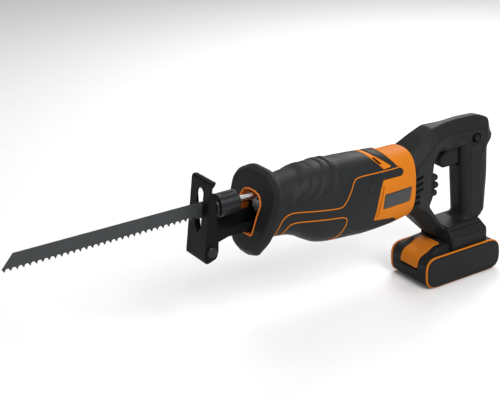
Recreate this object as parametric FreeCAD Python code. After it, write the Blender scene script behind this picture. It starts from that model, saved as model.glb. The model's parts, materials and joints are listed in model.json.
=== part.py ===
import FreeCAD, Part

import math
import os

# Cordless reciprocating saw, millimetres.
# +X runs rearwards along the plunger, -Y is the user's left, +Z is up.
# The origin lies on the plunger axis, where the blade shank shoulders against the clamp.

# ---- driving dimensions ----------------------------------------------------------------
STROKE = 28.0
BLADE_TALL = 19.0
BLADE_THICK = 1.3
BLADE_TIP_X = -258.0
TOOTH_PITCH = 7.07
TOOTH_DEPTH = 3.6
SHANK_TALL = 12.0

ROD_R = 4.5
HUB_R = 7.2
COLLAR_R = 13.8
RUN_GAP = 0.05

CRANK_X = 134.0
CRANK_R = STROKE / 2
GEAR_TEETH = 34
PINION_TEETH = 10
GEAR_RING = (18.5, 22.5)

MOTOR_Z = -34.0
CAN_R = 22.0
CAN_X = (190.0, 240.0)

GRIP_SKIN = 2.0
HOUSING_WALL = 2.0
BAND_X = (200.0, 209.0)
STEP_X = 226.0
COLLAR_END_X = 258.0

GUARD_X = 37.8
GUARD_Z = -16.5
GUARD_HALF_WIDTH = 50.8
GUARD_HALF_HEIGHT = 52.5
GUARD_THICK = 13.0
GUARD_LEAN = 16.0

SHOE_PIVOT = (-24.8, -43.8)
SHOE_HALF_WIDTH = 21.0
SHOE_LEAN = 9.2
SHOE_SHEET = 2.0
SHOE_FACE_AHEAD = 8.3
SHOE_ABOVE_PIVOT = 81.0
SHOE_BELOW_PIVOT = 14.0

HANDLE_HALF_WIDTH = 18.0
HANDLE_WALL = 2.5
FOOT_X = (318.0, 379.0)
FOOT_HALF_WIDTH = 31.0
FOOT_BOTTOM_Z = -138.0

PACK_X = (273.0, 396.0)
PACK_Z = (-177.0, -134.6)
PACK_HALF_WIDTH = 39.0
PACK_DECK_Z = -127.5
PACK_NOSE_R = 17.0
PACK_TAIL_R = 19.0
PACK_SPLIT_Z = -152.6
LATCH_SPRING_X = 303.0
LATCH_TRAVEL = 2.2
CELL_R = 9.2

os.makedirs("parts", exist_ok=True)
V = FreeCAD.Vector
BIG = 500.0
LEFT = -1
RIGHT = 1


# ---- shape helpers ---------------------------------------------------------------------
def box(x, y, z):
    """A block from its low and high limits on each axis."""
    return Part.makeBox(x[1] - x[0], y[1] - y[0], z[1] - z[0], V(x[0], y[0], z[0]))


def rod_x(radius, x, z=0.0, y=0.0):
    return Part.makeCylinder(radius, x[1] - x[0], V(x[0], y, z), V(1, 0, 0))


def rod_y(radius, y, x, z):
    return Part.makeCylinder(radius, y[1] - y[0], V(x, y[0], z), V(0, 1, 0))


def rod_z(radius, z, x, y=0.0):
    return Part.makeCylinder(radius, z[1] - z[0], V(x, y, z[0]), V(0, 0, 1))


def tube_x(outer, inner, x, z=0.0):
    return rod_x(outer, x, z).cut(rod_x(inner, (x[0] - 1, x[1] + 1), z))


def ring_x(radius, wire_radius, x, z=0.0):
    return Part.makeTorus(radius, wire_radius, V(x, 0, z), V(1, 0, 0))


def rounded_wire(points, place):
    """A closed wire through (u, v, corner radius) points; place turns (u, v) into a vector."""
    count = len(points)
    starts = []
    ends = []
    mids = []
    for i in range(count):
        u, v, radius = points[i]
        before = points[i - 1]
        after = points[(i + 1) % count]
        a = math.hypot(before[0] - u, before[1] - v)
        b = math.hypot(after[0] - u, after[1] - v)
        ua = ((before[0] - u) / a, (before[1] - v) / a)
        ub = ((after[0] - u) / b, (after[1] - v) / b)
        dot = max(-0.9999, min(0.9999, ua[0] * ub[0] + ua[1] * ub[1]))
        half = math.acos(dot) / 2
        reach = radius / math.tan(half)
        bis = (ua[0] + ub[0], ua[1] + ub[1])
        size = math.hypot(bis[0], bis[1])
        centre = radius / math.sin(half)
        starts.append((u + ua[0] * reach, v + ua[1] * reach))
        ends.append((u + ub[0] * reach, v + ub[1] * reach))
        out = centre - radius
        mids.append((u + bis[0] / size * out, v + bis[1] / size * out))
    edges = []
    for i in range(count):
        if points[i][2] > 0:
            edges.append(Part.Arc(place(*starts[i]), place(*mids[i]), place(*ends[i])).toShape())
        following = (i + 1) % count
        a = place(*ends[i])
        b = place(*starts[following])
        if (a - b).Length > 0.01:
            edges.append(Part.LineSegment(a, b).toShape())
    return Part.Wire(edges)


def side_plate(points, y):
    """A side outline of (x, z, corner radius) points, given thickness from y[0] to y[1]."""
    wire = rounded_wire(points, lambda u, v: V(u, y[0], v))
    return Part.Face(wire).extrude(V(0, y[1] - y[0], 0))


def end_plate(points, x):
    """A front-view outline of (y, z, corner radius) points, made long from x[0] to x[1]."""
    wire = rounded_wire(points, lambda u, v: V(x[0], u, v))
    return Part.Face(wire).extrude(V(x[1] - x[0], 0, 0))


def mirrored(points):
    """Completes a front-view outline given for +Y with its mirror image."""
    return points + [(-u, v, r) for u, v, r in reversed(points)]


def oval_wire(x, half_width, top, bottom, squareness=2.4):
    """A smooth closed section of the body in the plane X = x."""
    centre = (top + bottom) / 2
    half = (top - bottom) / 2
    points = []
    for step in range(32):
        angle = 2 * math.pi * step / 32
        c = math.cos(angle)
        s = math.sin(angle)
        y = half_width * math.copysign(abs(c) ** (2 / squareness), c)
        z = half * math.copysign(abs(s) ** (2 / squareness), s)
        points.append(V(x, y, centre + z))
    curve = Part.BSplineCurve()
    curve.interpolate(points, PeriodicFlag=True)
    return Part.Wire(curve.toShape())


def half_oval_wire(x, half_width, top, bottom, squareness=2.4):
    """The left half of an oval section, closed along the middle plane."""
    centre = (top + bottom) / 2
    half_height = (top - bottom) / 2
    points = [V(x, 0, top)]
    for step in range(1, 16):
        angle = math.pi / 2 + math.pi * step / 16
        s = math.sin(angle)
        y = -half_width * abs(math.cos(angle)) ** (2 / squareness)
        points.append(V(x, y, centre + half_height * math.copysign(abs(s) ** (2 / squareness), s)))
    points.append(V(x, 0, bottom))
    curve = Part.BSplineCurve()
    curve.interpolate(points, InitialTangent=V(0, -1, 0), FinalTangent=V(0, 1, 0))
    return Part.Wire([curve.toShape(), Part.LineSegment(points[-1], points[0]).toShape()])


def soften(shape, radius, chooser):
    edges = [edge for edge in shape.Edges if chooser(edge)]
    return shape.makeFillet(radius, edges)


def half(shape, side):
    """The part of a shape on the user's left (-Y) or right (+Y)."""
    y = (-BIG, 0.0) if side == LEFT else (0.0, BIG)
    return shape.common(box((-BIG, BIG), y, (-BIG, BIG)))


def both_sides(shape):
    return Part.makeCompound([shape, shape.mirror(V(0, 0, 0), V(0, 1, 0))])


def join(shapes):
    result = shapes[0]
    for shape in shapes[1:]:
        result = result.fuse(shape)
    return result.removeSplitter()


def export(name, shape):
    shape.exportStep("parts/" + name + ".step")
    print("%-24s solids %d  volume %9.1f" % (name, len(shape.Solids), shape.Volume))


# ---- blade and its clamp ---------------------------------------------------------------
def make_blade():
    top = BLADE_TALL / 2
    root = -top + TOOTH_DEPTH
    shoulder_x = -8.0
    points = [(shoulder_x, -SHANK_TALL / 2, 0), (14.0, -SHANK_TALL / 2, 2.5), (14.0, SHANK_TALL / 2, 2.5)]
    points += [(shoulder_x, SHANK_TALL / 2, 0), (shoulder_x - 6, top, 2), (BLADE_TIP_X + 14, top, 0)]
    points += [(BLADE_TIP_X, root, 0)]
    tooth_x = BLADE_TIP_X + 2.0
    while tooth_x < -32.0:
        points.append((tooth_x + 0.5, -top, 0))
        points.append((tooth_x + 2.2, root - 0.2, 0.8))
        points.append((tooth_x + 5.0, root + 0.3, 0.8))
        tooth_x += TOOTH_PITCH
    points += [(tooth_x + 0.5, -top, 0), (-20.0, -top, 3)]
    blade = side_plate(points, (-BLADE_THICK / 2, BLADE_THICK / 2))
    return blade.cut(rod_y(2.2, (-5, 5), 6.0, 0.0))


def make_clamp_hub():
    hub = rod_x(HUB_R, (-7.4, 22.0)).fuse(rod_x(8.6, (22.0, 24.5)))
    slot_half = BLADE_THICK / 2 + 0.25
    hub = hub.cut(box((-9.0, 15.0), (-slot_half, slot_half), (-SHANK_TALL / 2 - 0.4, SHANK_TALL / 2 + 0.4)))
    hub = hub.cut(rod_y(2.05, (-20, 0), 6.0, 0.0))
    return hub.cut(rod_x(ROD_R, (16.0, 40.0)))


def make_clamp_collar():
    collar = rod_x(COLLAR_R, (-4.4, 21.4))
    collar = collar.makeChamfer(1.0, [edge for edge in collar.Edges if edge.Length > 60])
    collar = collar.cut(rod_x(HUB_R + 0.1, (-9.0, 27.0)))
    collar = collar.cut(rod_x(11.2, (3.0, 9.0)))
    for index in range(12):
        groove = box((0.5, 17.5), (-0.9, 0.9), (COLLAR_R - 0.7, COLLAR_R + 2))
        groove.rotate(V(0, 0, 0), V(1, 0, 0), 30.0 * index + 15)
        collar = collar.cut(groove)
    return collar


def make_clamp_spring():
    turns = [ring_x(9.6 + 0.6 * index, 0.55, -5.0 - 1.15 * index) for index in range(3)]
    return Part.makeCompound(turns)


def make_clamp_pin():
    tip = BLADE_THICK / 2 + 0.3
    pin = rod_y(2.0, (-8.6, -tip), 6.0, 0.0)
    return pin


def make_plunger_rod():
    rod = rod_x(ROD_R, (16.0, 124.0)).fuse(rod_x(ROD_R, (144.0, 200.0)))
    return rod


def make_plunger_yoke():
    yoke = box((124.0, 144.0), (-22.0, 22.0), (-6.0, 2.0))
    yoke = yoke.fuse(rod_x(6.2, (120.0, 124.0))).fuse(rod_x(6.2, (144.0, 148.0)))
    yoke = yoke.cut(box((127.0, 141.0), (-19.3, 19.3), (-10.0, 10.0)))
    yoke = yoke.cut(rod_x(ROD_R, (119.0, 124.0))).cut(rod_x(ROD_R, (144.0, 149.0)))
    return yoke


def make_slider_block():
    block = box((127.0 + RUN_GAP, 141.0 - RUN_GAP), (CRANK_R - 5, CRANK_R + 5), (-6.0, 2.0))
    return block.cut(rod_z(3.6, (-7.0, -1.0), CRANK_X, CRANK_R))


# ---- crank, bearings and gearbox -------------------------------------------------------
def make_crank_gear():
    disc = rod_z(24.0, (-26.5, -17.0), CRANK_X)
    teeth = []
    for index in range(GEAR_TEETH):
        tooth = box((CRANK_X + GEAR_RING[0], CRANK_X + GEAR_RING[1]), (-0.55, 0.55), (-28.6, -26.4))
        tooth.rotate(V(CRANK_X, 0, 0), V(0, 0, 1), 360.0 / GEAR_TEETH * (index + 0.5))
        teeth.append(tooth)
    gear = disc.multiFuse(teeth)
    relief = Part.makeBox(18, 30, 20, V(CRANK_X - 9, -29, -22))
    balance = rod_z(21.0, (-22.0, -16.0), CRANK_X).cut(rod_z(11.0, (-23.0, -15.0), CRANK_X))
    gear = gear.cut(balance.common(relief))
    gear = gear.cut(rod_z(5.0, (-30.0, -18.5), CRANK_X))
    return gear.cut(rod_z(3.5, (-23.0, -10.0), CRANK_X, CRANK_R))


def make_crank_pin():
    return rod_z(3.5, (-23.0, -6.5), CRANK_X, CRANK_R)


def make_gear_shaft():
    return rod_z(5.0, (-52.0, -18.5), CRANK_X)


def make_ball_bearing(z, inner, outer, x):
    """A vertical sealed bearing with a shield groove between its rings."""
    bearing = rod_z(outer, z, x).cut(rod_z(inner, (z[0] - 1, z[1] + 1), x))
    middle = (inner + outer) / 2
    for face in (z[0], z[1] - 0.5):
        groove = rod_z(middle + 1.2, (face, face + 0.5), x)
        bearing = bearing.cut(groove.cut(rod_z(middle - 1.2, (face - 1, face + 2), x)))
    return bearing


def make_gear_bearings():
    lower = make_ball_bearing((-50.0, -43.0), 5.0 + RUN_GAP, 11.0, CRANK_X)
    upper = make_ball_bearing((-39.0, -32.0), 5.0 + RUN_GAP, 11.0, CRANK_X)
    return Part.makeCompound([lower, upper])


def gearbox_block():
    nose = end_plate(mirrored([(12.0, -20.0, 2), (12.0, 3.0, 2), (7.0, 8.8, 2)]), (62.0, 104.0))
    wide_side = [(13.5, -54.0, 3), (26.8, -33.0, 3), (26.8, -8.0, 3), (24.8, 1.5, 2), (14.0, 8.8, 2)]
    wide = end_plate(mirrored(wide_side), (102.0, 166.0))
    tail = rod_x(8.6, (166.0, 178.0))
    lug = box((64.0, 104.0), (-8.1, 8.1), (-34.6, -18.0))
    block = join([nose, wide, tail, lug])
    inside = end_plate(mirrored([(22.8, -30.0, 1), (22.8, 2.6, 1), (12.0, 6.6, 1)]), (104.0, 163.5))
    block = block.cut(inside)
    block = block.cut(rod_z(24.6, (-31.0, -5.0), CRANK_X))
    block = block.cut(rod_z(11.0, (-50.0, -30.0), CRANK_X))
    block = block.cut(rod_z(5.6, (-53.0, -49.0), CRANK_X))
    block = block.cut(rod_x(7.5, (148.0, 170.0), MOTOR_Z))
    block = block.cut(rod_x(8.0, (159.5, 167.0), MOTOR_Z))
    block = block.cut(rod_x(7.0, (61.0, 105.0)))
    return block.cut(rod_x(7.0, (162.0, 179.0)))


def make_gearbox_housing():
    return gearbox_block().common(box((-BIG, BIG), (-BIG, BIG), (-BIG, 0.0)))


def make_gearbox_cover():
    return gearbox_block().common(box((-BIG, BIG), (-BIG, BIG), (0.0, BIG)))


def make_front_bushing():
    return tube_x(7.0, ROD_R + RUN_GAP, (70.0, 100.0))


def make_rear_bushing():
    return tube_x(7.0, ROD_R + RUN_GAP, (166.0, 178.0))


def make_rod_seal():
    seal = tube_x(7.0, ROD_R + RUN_GAP, (64.0, 69.5))
    groove = tube_x(6.2, 5.2, (63.0, 65.5))
    return seal.cut(groove)


# ---- motor -----------------------------------------------------------------------------
def make_motor_pinion():
    core = rod_x(4.4, (151.5, 157.5), MOTOR_Z)
    teeth = []
    for index in range(PINION_TEETH):
        profile = [(-0.75, 4.0, 0), (0.75, 4.0, 0), (0.42, 6.6, 0), (-0.42, 6.6, 0)]
        tooth = end_plate(profile, (151.5, 157.5))
        tooth.rotate(V(0, 0, 0), V(1, 0, 0), 360.0 / PINION_TEETH * index)
        tooth.translate(V(0, 0, MOTOR_Z))
        teeth.append(tooth)
    return core.multiFuse(teeth).cut(rod_x(2.5, (150.0, 159.0), MOTOR_Z))


def make_motor_shaft():
    return rod_x(2.5, (150.5, 248.0), MOTOR_Z)


def make_motor_bearing(x):
    bearing = tube_x(8.0, 2.5 + RUN_GAP, x, MOTOR_Z)
    for face in (x[0], x[1] - 0.4):
        bearing = bearing.cut(tube_x(6.6, 4.0, (face, face + 0.4), MOTOR_Z))
    return bearing


def make_cooling_fan():
    hub = tube_x(6.0, 2.5, (176.0, 186.0), MOTOR_Z)
    plate = tube_x(19.0, 5.5, (184.5, 186.0), MOTOR_Z)
    blades = []
    for index in range(11):
        blade = box((176.5, 185.0), (-0.6, 0.6), (5.5, 18.5))
        blade.rotate(V(0, 0, 5.5), V(0, 0, 1), 22)
        blade = blade.common(rod_x(30, (176.5, 185.0)))
        blade.rotate(V(0, 0, 0), V(1, 0, 0), 360.0 / 11 * index)
        blade.translate(V(0, 0, MOTOR_Z))
        blades.append(blade)
    return hub.multiFuse([plate] + blades)


def make_motor_can():
    can = tube_x(CAN_R, CAN_R - 1.8, CAN_X, MOTOR_Z)
    front = tube_x(CAN_R, 5.0, (CAN_X[0], CAN_X[0] + 1.8), MOTOR_Z)
    for index in range(4):
        hole = rod_x(3.0, (CAN_X[0] - 1, CAN_X[0] + 3), MOTOR_Z, 0).translated(V(0, 0, 13))
        hole.rotate(V(0, 0, MOTOR_Z), V(1, 0, 0), 90.0 * index + 45)
        front = front.cut(hole)
    return can.fuse(front).removeSplitter()


def make_motor_magnets():
    arc = tube_x(CAN_R - 1.8, 15.5, (196.0, 230.0), MOTOR_Z)
    wedge = box((190, 240), (3.0, 40), (MOTOR_Z - 14, MOTOR_Z + 14))
    return both_sides(arc.common(wedge))


def make_rotor_core():
    core = tube_x(14.8, 2.5, (198.0, 228.0), MOTOR_Z)
    for index in range(9):
        slot = box((197, 229), (-1.4, 1.4), (9.5, 16.0))
        slot.rotate(V(0, 0, 0), V(1, 0, 0), 40.0 * index)
        slot.translate(V(0, 0, MOTOR_Z))
        core = core.cut(slot)
    return core


def make_rotor_windings():
    ends = []
    for x in ((193.5, 198.0), (228.0, 232.0)):
        coil = tube_x(12.5, 4.0, x, MOTOR_Z)
        ends.append(coil)
    return Part.makeCompound(ends)


def make_commutator():
    drum = tube_x(6.0, 2.5, (232.0, 241.0), MOTOR_Z)
    for index in range(9):
        slot = box((231, 242), (-0.25, 0.25), (5.4, 7.0))
        slot.rotate(V(0, 0, 0), V(1, 0, 0), 40.0 * index + 20)
        slot.translate(V(0, 0, MOTOR_Z))
        drum = drum.cut(slot)
    return drum


def make_carbon_brushes():
    return both_sides(box((234.0, 239.0), (6.3, 12.5), (MOTOR_Z - 2, MOTOR_Z + 2)))


def make_brush_holders():
    holder = box((233.2, 239.8), (7.4, 19.8), (MOTOR_Z - 2.8, MOTOR_Z + 2.8))
    return both_sides(holder.cut(box((234.0, 239.0), (6.0, 19.0), (MOTOR_Z - 2, MOTOR_Z + 2))))


def make_motor_end_bell():
    bell = tube_x(CAN_R, 8.0, (CAN_X[1], CAN_X[1] + 3.0), MOTOR_Z)
    boss = tube_x(10.0, 8.0, (243.0, 248.0), MOTOR_Z)
    lid = tube_x(10.0, 3.2, (248.0, 249.5), MOTOR_Z)
    return join([bell, boss, lid])


# ---- body shells -----------------------------------------------------------------------
# Each station is x, half width, top, bottom.
BODY = [(38.0, 30.6, 19.6, -53.4), (60.0, 30.0, 19.2, -53.6), (76.0, 30.6, 18.4, -55.2)]
BODY += [(90.0, 32.0, 19.3, -59.5), (104.0, 34.5, 20.6, -67.8), (120.0, 36.0, 21.8, -75.8)]
BODY += [(140.0, 37.0, 21.6, -79.4), (165.0, 37.2, 20.6, -81.2), (190.0, 36.8, 19.0, -83.0)]
BODY += [(STEP_X, 35.4, 16.2, -82.6), (COLLAR_END_X, 33.8, 14.5, -79.0)]
SECTION_STEP = 11.0


def station_at(x):
    """Half width, top and bottom of the body at x, on smooth curves that never overshoot."""
    xs = [row[0] for row in BODY]
    i = max(0, min(len(xs) - 2, sum(1 for value in xs if value <= x) - 1))
    gap = xs[i + 1] - xs[i]
    t = (x - xs[i]) / gap
    result = []
    for column in (1, 2, 3):
        values = [row[column] for row in BODY]
        slopes = [(values[k + 1] - values[k]) / (xs[k + 1] - xs[k]) for k in range(len(xs) - 1)]
        tangents = [slopes[0]]
        for k in range(1, len(slopes)):
            product = slopes[k - 1] * slopes[k]
            tangents.append(2 * product / (slopes[k - 1] + slopes[k]) if product > 0 else 0.0)
        tangents.append(slopes[-1])
        rise = values[i + 1] - values[i]
        start = tangents[i] * gap
        finish = tangents[i + 1] * gap
        result.append(values[i] + start * t + (3 * rise - 2 * start - finish) * t ** 2
                      + (start + finish - 2 * rise) * t ** 3)
    return result


def half_body_wires(inset):
    wires = []
    count = round((COLLAR_END_X - BODY[0][0]) / SECTION_STEP)
    for step in range(count + 1):
        x = BODY[0][0] + SECTION_STEP * step
        a, top, bottom = station_at(x)
        wires.append(half_oval_wire(x, a - inset, top - inset, bottom + inset))
    return wires


def lean_about_guard(shape):
    shape.rotate(V(GUARD_X, 0, GUARD_Z), V(0, 1, 0), GUARD_LEAN)
    return shape


def ahead_of_guard_back():
    """Everything in front of the leaning back face of the guard flange."""
    return lean_about_guard(box((-BIG, GUARD_X + GUARD_THICK), (-BIG, BIG), (-BIG, BIG)))


def half_body(inset):
    """The solid left half of the body, drawn in by the inset, with its step down at the collar."""
    body = Part.makeLoft(half_body_wires(inset), True, False)
    roof = Part.Face(half_oval_wire(STEP_X, 50.0 - inset, 11.0 - inset, -170.0)).extrude(V(40, 0, 0))
    return body.cut(box((STEP_X, 300.0), (-60.0, 0.0), (-10.0, 60.0)).cut(roof))


def grip_region():
    """Side outline of the black moulded grip; the rest of the body shows as orange shell."""
    outline = [(0, 60, 0), (STEP_X, 60, 0), (STEP_X, -1, 0), (241, -2, 3), (241, -10, 5)]
    outline += [(206, -10, 3), (199, -22, 0), (193, -60, 0), (193, -120, 0), (0, -120, 0)]
    region = side_plate(outline, (-60, 60))
    band = [(BAND_X[0], 60, 0), (BAND_X[1], 60, 0), (BAND_X[1], 2, 0), (BAND_X[0], 2, 0)]
    return region.cut(side_plate(band, (-60, 60)))


BADGE_OUTLINE = [(208.5, -29.5, 1.5), (251.0, -29.5, 1.5), (248.0, -48.0, 1.5), (205.5, -48.0, 1.5)]
BADGE_SEAT_Y = 34.2


def make_body_halves():
    """The left halves of the black grip and of the orange shell under it."""
    outer = half_body(0.0)
    skin_floor = half_body(GRIP_SKIN)
    cavity = half_body(GRIP_SKIN + HOUSING_WALL)
    region = grip_region()
    front = ahead_of_guard_back()
    grip = outer.cut(skin_floor).common(region).cut(front)
    shell = skin_floor.fuse(outer.cut(region)).cut(front).cut(cavity)
    return grip, shell.cut(side_plate(BADGE_OUTLINE, (-60.0, -BADGE_SEAT_Y)))


def guard_section(depth, inset):
    """Section of the guard: a rounded shield, broad above and narrower below."""
    w = GUARD_HALF_WIDTH
    h = GUARD_HALF_HEIGHT
    outline = [(19.0, h, 30), (w - 0.3, 37.0, 26), (w, 6.0, 60), (42.0, -24.0, 50), (24.0, -47.5, 16)]
    outline = mirrored(outline + [(8.0, 1.0 - h, 20)])
    size = 1.0 - inset / w
    scaled = [(y * size, z * size, radius * size) for y, z, radius in outline]
    return rounded_wire(scaled, lambda y, z: V(GUARD_X + depth, y, GUARD_Z + z))


def mouth(grow):
    """The shield-shaped opening of the guard, straight along the tool."""
    outline = [(16.5 + grow, -41.8 - grow, 5), (19.5 + grow, -17.0, 10), (22.8 + grow, -4.0, 6)]
    outline += [(16.5 + grow * 0.7, 5.0 + grow * 0.7, 8), (7.0, 7.4 + grow, 5)]
    return end_plate(mirrored(outline), (10.0, 90.0))


def make_front_guard():
    sections = [(0.0, 6.0), (5.5, 0.8), (6.5, 0.0), (10.0, 0.0), (GUARD_THICK, 4.0)]
    wires = [guard_section(depth, inset) for depth, inset in sections]
    guard = lean_about_guard(Part.makeLoft(wires, True, True))
    return guard.cut(mouth(0.0))


def make_guard_trim_ring():
    slab = lean_about_guard(box((GUARD_X - 0.8, GUARD_X + GUARD_THICK - 0.5), (-60, 60), (-90, 60)))
    return mouth(-0.1).cut(mouth(-1.9)).common(slab)


# ---- handle ----------------------------------------------------------------------------
HANDLE_OUTLINE = [(262.0, 6.0, 0), (284.0, 19.0, 10), (301.0, 28.0, 12), (350.0, 31.0, 20), (377.0, 29.0, 12)]
HANDLE_OUTLINE += [(396.0, 20.0, 6), (404.0, -1.0, 3), (393.0, -14.0, 8), (394.0, -50.0, 60)]
HANDLE_OUTLINE += [(390.0, -101.0, 12), (386.0, -112.0, 4), (379.0, -119.0, 2), (379.0, -126.0, 0)]
HANDLE_OUTLINE += [(318.0, -126.0, 4), (298.0, -112.0, 12), (270.0, -82.0, 12), (262.0, -76.0, 0)]
WINDOW_OUTLINE = [(301.0, -16.0, 5), (311.0, -4.5, 5), (346.0, -4.5, 4), (348.5, -60.0, 30)]
WINDOW_OUTLINE += [(351.0, -99.0, 6), (346.0, -106.0, 4), (316.0, -106.5, 6), (288.0, -69.0, 3)]
WINDOW_OUTLINE += [(299.0, -60.0, 3), (299.0, -28.0, 4)]


def inset_outline(points, distance, y):
    """A side outline drawn in by a distance (negative draws it out), made solid across y."""
    face = Part.Face(rounded_wire(points, lambda u, v: V(u, y[0], v)))
    shifted = face.makeOffset2D(-distance)
    return shifted.extrude(V(0, y[1] - y[0], 0))


def make_handle_outer():
    w = HANDLE_HALF_WIDTH
    frame = side_plate(HANDLE_OUTLINE, (-w, w)).cut(side_plate(WINDOW_OUTLINE, (-w - 1, w + 1)))
    frame = soften(frame, 5.0, lambda edge: abs(edge.BoundBox.YMin) > w - 0.1 and edge.BoundBox.YLength < 0.1)
    return frame


def tail_loft(inset):
    wires = [oval_wire(COLLAR_END_X, 33.8 - inset, 9.0 - inset, -79.0 + inset)]
    wires.append(oval_wire(272.0, 31.0 - inset, 10.0 - inset, -76.0 + inset))
    wires.append(oval_wire(296.5, 20.0 - inset, 8.0 - inset, -66.0 + inset))
    return Part.makeLoft(wires, True, False)


def foot_block():
    foot = box(FOOT_X, (-FOOT_HALF_WIDTH, FOOT_HALF_WIDTH), (FOOT_BOTTOM_Z, -105.0))
    foot = soften(foot, 7.0, lambda edge: edge.BoundBox.ZLength > 20)
    return foot


def make_handle_body():
    w = HANDLE_HALF_WIDTH
    window = side_plate(WINDOW_OUTLINE, (-60, 60))
    outer = join([make_handle_outer(), tail_loft(0.0).cut(window), foot_block()])
    inner_w = w - HANDLE_WALL
    hollow = inset_outline(HANDLE_OUTLINE, HANDLE_WALL, (-inner_w, inner_w))
    hollow = hollow.cut(inset_outline(WINDOW_OUTLINE, -HANDLE_WALL, (-inner_w - 1, inner_w + 1)))
    hollow = hollow.cut(box((240, 420), (-60, 60), (-200, -108.0)))
    tail_hollow = tail_loft(HANDLE_WALL).cut(inset_outline(WINDOW_OUTLINE, -HANDLE_WALL, (-60, 60)))
    outer = outer.cut(hollow).cut(tail_hollow)
    outer = outer.cut(box((FOOT_X[0] + 3, FOOT_X[1] - 3), (-28.0, 28.0), (-124.5, -108.0)))
    outer = outer.cut(box((FOOT_X[0] - 30, FOOT_X[1] - 2.5), (-28.0, 28.0), (-150.0, -127.0)))
    outer = outer.cut(box((332.0, 368.0), (-20.0, 20.0), (-128.0, -120.0)))
    outer = outer.cut(box((340.0, 360.0), (-8.4, 8.4), (-31.0, -4.0)))
    outer = outer.cut(rod_y(4.4, (-60, 60), 368.0, 3.0))
    for index in range(5):
        z = -25.0 - 8.0 * index
        x = 256.0 if index < 3 else 252.0
        slot = [(x, z - 2, 1), (x, z + 1.6, 1), (x + 15, z + 2.6, 1), (x + 15, z - 1, 1)]
        outer = outer.cut(side_plate(slot, (-60, 60)))
    return outer


def make_handle_overmould():
    """The soft pad over the rear of the grip, on both sides."""
    w = HANDLE_HALF_WIDTH
    edge = [(390.0, 1.0, 3), (376.0, -22.0, 6), (373.0, -34.0, 8), (373.0, -56.0, 8), (379.0, -84.0, 12)]
    edge += [(379.0, -104.0, 3), (430.0, -104.0, 0), (430.0, 1.0, 0)]
    outline = side_plate(HANDLE_OUTLINE, (w + 0.1, w + 1.1))
    return both_sides(outline.common(side_plate(edge, (0, 60))).common(box((300, 389), (0, 60), (-101, -2))))


# ---- trigger, switch and lock-off ------------------------------------------------------
def make_trigger():
    outline = [(328.0, -4.8, 0), (328.0, -9.0, 10), (315.5, -20.0, 3), (319.0, -28.5, 4), (337.0, -30.5, 6)]
    outline += [(351.0, -30.5, 0), (351.0, -4.8, 0)]
    trigger = side_plate(outline, (-8.0, 8.0))
    trigger = soften(trigger, 1.5, lambda edge: edge.BoundBox.YLength < 0.1 and edge.BoundBox.ZMax < -8.0
                     and edge.BoundBox.XMax < 338)
    return trigger.cut(rod_x(3.6, (344.0, 352.0), -17.0))


def make_trigger_spring():
    return tube_x(3.2, 2.4, (344.5, 359.5), -17.0)


def make_switch_body():
    body = box((360.0, 386.0), (-9.0, 9.0), (-32.0, -4.0))
    body = body.fuse(rod_x(2.1, (353.0, 360.0), -17.0))
    for y in (-5.0, 5.0):
        body = body.fuse(box((366.0, 380.0), (y - 0.8, y + 0.8), (-37.0, -32.0)))
    return body


def make_lock_button():
    button = rod_y(4.0, (-HANDLE_HALF_WIDTH - 3.0, HANDLE_HALF_WIDTH + 3.0), 368.0, 3.0)
    return soften(button, 0.8, lambda edge: edge.BoundBox.YLength < 0.1 and edge.Length > 20)


# ---- shoe ------------------------------------------------------------------------------
def lean_about_pivot(shape):
    shape.rotate(V(SHOE_PIVOT[0], 0, SHOE_PIVOT[1]), V(0, 1, 0), SHOE_LEAN)
    return shape


def make_shoe_plate():
    w = SHOE_HALF_WIDTH
    pivot_x, pivot_z = SHOE_PIVOT
    face_x = pivot_x - SHOE_FACE_AHEAD
    top = pivot_z + SHOE_ABOVE_PIVOT
    bottom = pivot_z - SHOE_BELOW_PIVOT
    side = [(face_x, top, 4), (pivot_x - 1.5, top, 0), (pivot_x - 2.5, top - 3.5, 0)]
    side += [(pivot_x - 5.3, top - 7.0, 0.5), (pivot_x - 5.3, top - 12.0, 0.5)]
    side += [(pivot_x - 0.9, top - 13.3, 1), (pivot_x + 8.1, pivot_z + 12.5, 3)]
    side += [(pivot_x + 9.2, pivot_z, 8), (pivot_x + 7.6, pivot_z - 8.8, 7)]
    side += [(pivot_x - 3.0, bottom, 2), (face_x, bottom, 4)]
    block = side_plate(side, (-w, w))
    back_x = pivot_x - 4.0
    inner = [(face_x + SHOE_SHEET, top - SHOE_SHEET, 2), (0.0, top - SHOE_SHEET, 0), (0.0, bottom - 9, 0)]
    inner += [(back_x, bottom - 9, 0), (back_x, bottom + SHOE_SHEET, 0)]
    inner += [(face_x + SHOE_SHEET, bottom + SHOE_SHEET, 2)]
    inside = w - SHOE_SHEET
    plate = block.cut(side_plate(inner, (-inside, inside)))
    slot_outline = [(1.0, pivot_z + 17.5, 0.5), (7.0, pivot_z + 25.0, 2), (7.0, pivot_z + 69.5, 6)]
    slot = end_plate(mirrored(slot_outline), (face_x - 5, face_x + 6))
    plate = plate.cut(slot)
    plate = plate.cut(rod_y(3.0 + RUN_GAP, (-30, 30), *SHOE_PIVOT))
    return lean_about_pivot(plate)


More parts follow.
